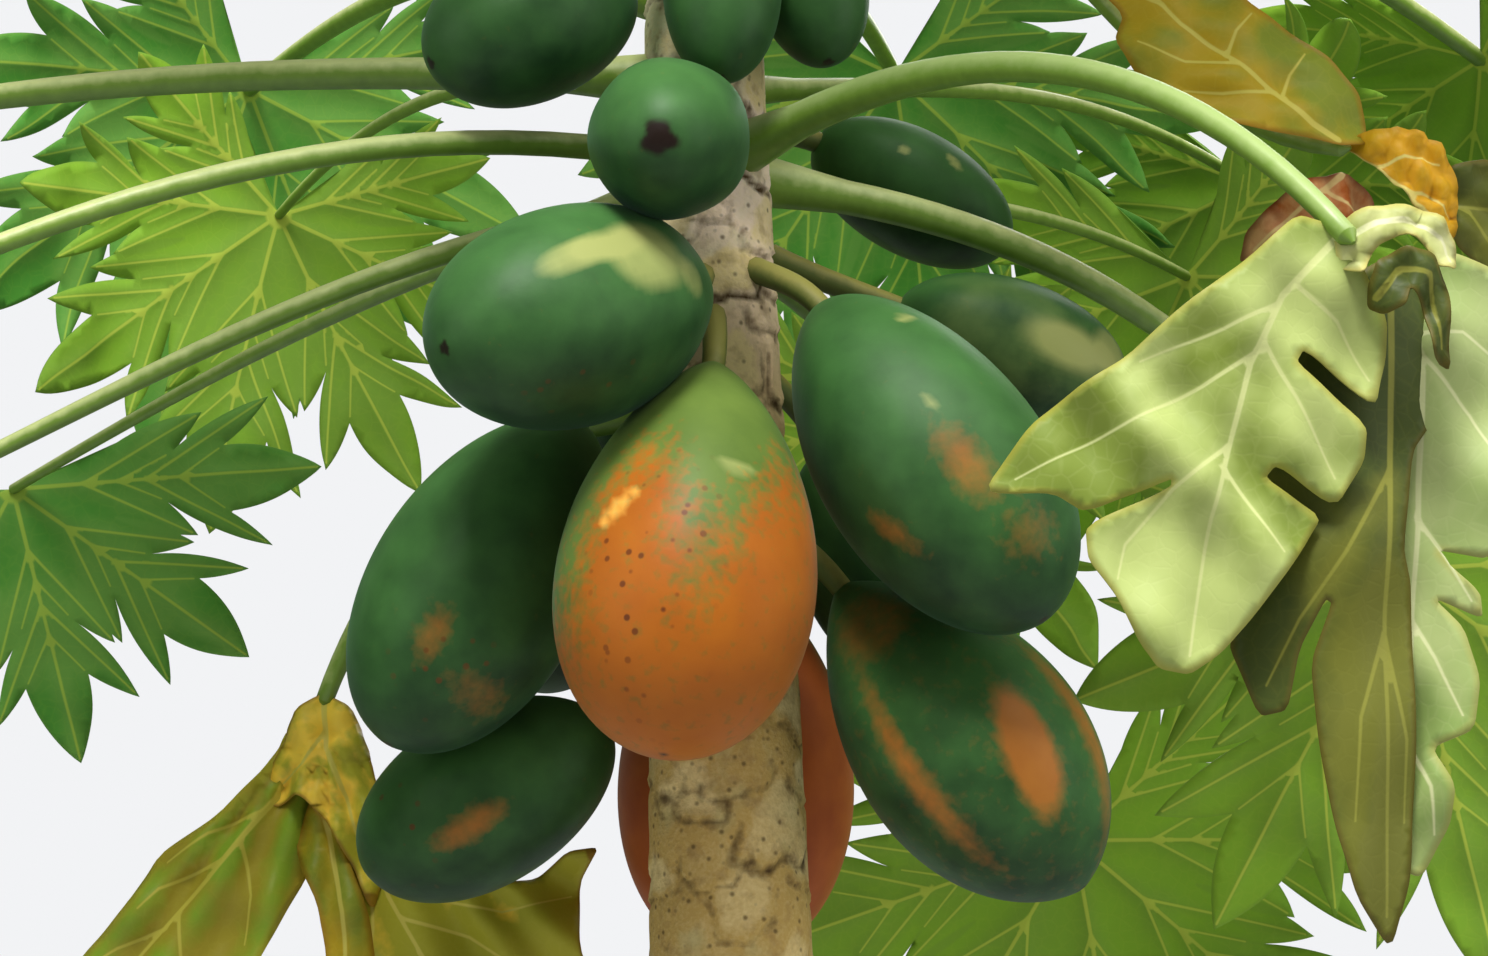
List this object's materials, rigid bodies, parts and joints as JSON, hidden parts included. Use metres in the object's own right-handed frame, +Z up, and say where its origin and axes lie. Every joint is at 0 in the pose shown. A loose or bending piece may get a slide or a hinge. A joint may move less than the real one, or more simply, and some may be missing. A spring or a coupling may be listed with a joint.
{
  "type": "papaya tree",
  "caption": "Fruiting papaya tree with one unbranched trunk, long curved leaf stalks with hand-shaped lobed leaves, and a cluster of unripe and ripening fruit.",
  "frame": {"origin": "middle of the flat cut under the trunk, at ground level", "axes": "+Z is up along the trunk; +X is to the right and +Y away from a viewer who faces the front of the fruit cluster"},
  "size_m": [1.4997, 1.2289, 2.87],
  "materials": {
    "bark": "dry tan bark with leaf scars",
    "stalk": "smooth waxy yellow-green leaf stalk",
    "leaf_green": "satin deep green leaf with pale veins",
    "leaf_young": "satin light green young leaf",
    "leaf_wilting": "limp pale yellow-green leaf",
    "leaf_golden": "curled golden-olive leaf with rusty patches",
    "leaf_dead": "withered olive and yellow leaf with brown edges",
    "fruit_green": "smooth dark green fruit skin with a dull wax bloom",
    "fruit_turning": "green fruit skin with orange streaks",
    "fruit_ripe": "ripe orange fruit skin, mottled green at the stem end",
    "fruit_red": "overripe red-orange fruit skin"
  },
  "bodies": {
    "root": {"trunk": "bark", "young_leaves": "leaf_young", "petiole_left_level": "stalk", "blade_left_level": "leaf_green", "petiole_left_front": "stalk", "blade_left_front": "leaf_green", "petiole_left_low": "stalk", "blade_left_low": "leaf_green", "petiole_left_back_low": "stalk", "blade_left_back_low": "leaf_green", "petiole_left_high": "stalk", "blade_left_high": "leaf_green", "petiole_back_left_high": "stalk", "blade_back_left_high": "leaf_green", "petiole_back_left": "stalk", "blade_back_left": "leaf_green", "petiole_right_front_wilting": "stalk", "blade_right_front_wilting": "leaf_wilting", "petiole_right_golden": "stalk", "blade_right_golden": "leaf_golden", "petiole_back_right": "stalk", "blade_back_right": "leaf_green", "petiole_right_back": "stalk", "blade_right_back": "leaf_green", "petiole_right_low": "stalk", "blade_right_low": "leaf_green", "petiole_back_right_low": "stalk", "blade_back_right_low": "leaf_green", "petiole_back_low": "stalk", "blade_back_low": "leaf_green", "petiole_back_high": "stalk", "blade_back_high": "leaf_green", "petiole_right_high": "stalk", "blade_right_high": "leaf_green", "petiole_left_dead": "stalk", "blade_left_dead": "leaf_dead", "petiole_front_left_high": "stalk", "blade_front_left_high": "leaf_green", "petiole_front_right_high": "stalk", "blade_front_right_high": "leaf_green", "petiole_right_front_high": "stalk", "blade_right_front_high": "leaf_green", "petiole_back_top": "stalk", "blade_back_top": "leaf_green", "fruit_top_left": "fruit_green", "fruit_top_middle": "fruit_green", "fruit_top_right": "fruit_green", "fruit_upper_front": "fruit_green", "fruit_upper_left": "fruit_green", "fruit_upper_right": "fruit_green", "fruit_front_ripe": "fruit_ripe", "fruit_left": "fruit_green", "fruit_lower_left": "fruit_green", "fruit_right": "fruit_green", "fruit_right_behind": "fruit_green", "fruit_lower_right": "fruit_turning", "fruit_behind_ripe": "fruit_red", "fruit_behind_upper": "fruit_green", "fruit_behind_left": "fruit_green", "fruit_behind_right": "fruit_green"}
  },
  "joints": []
}
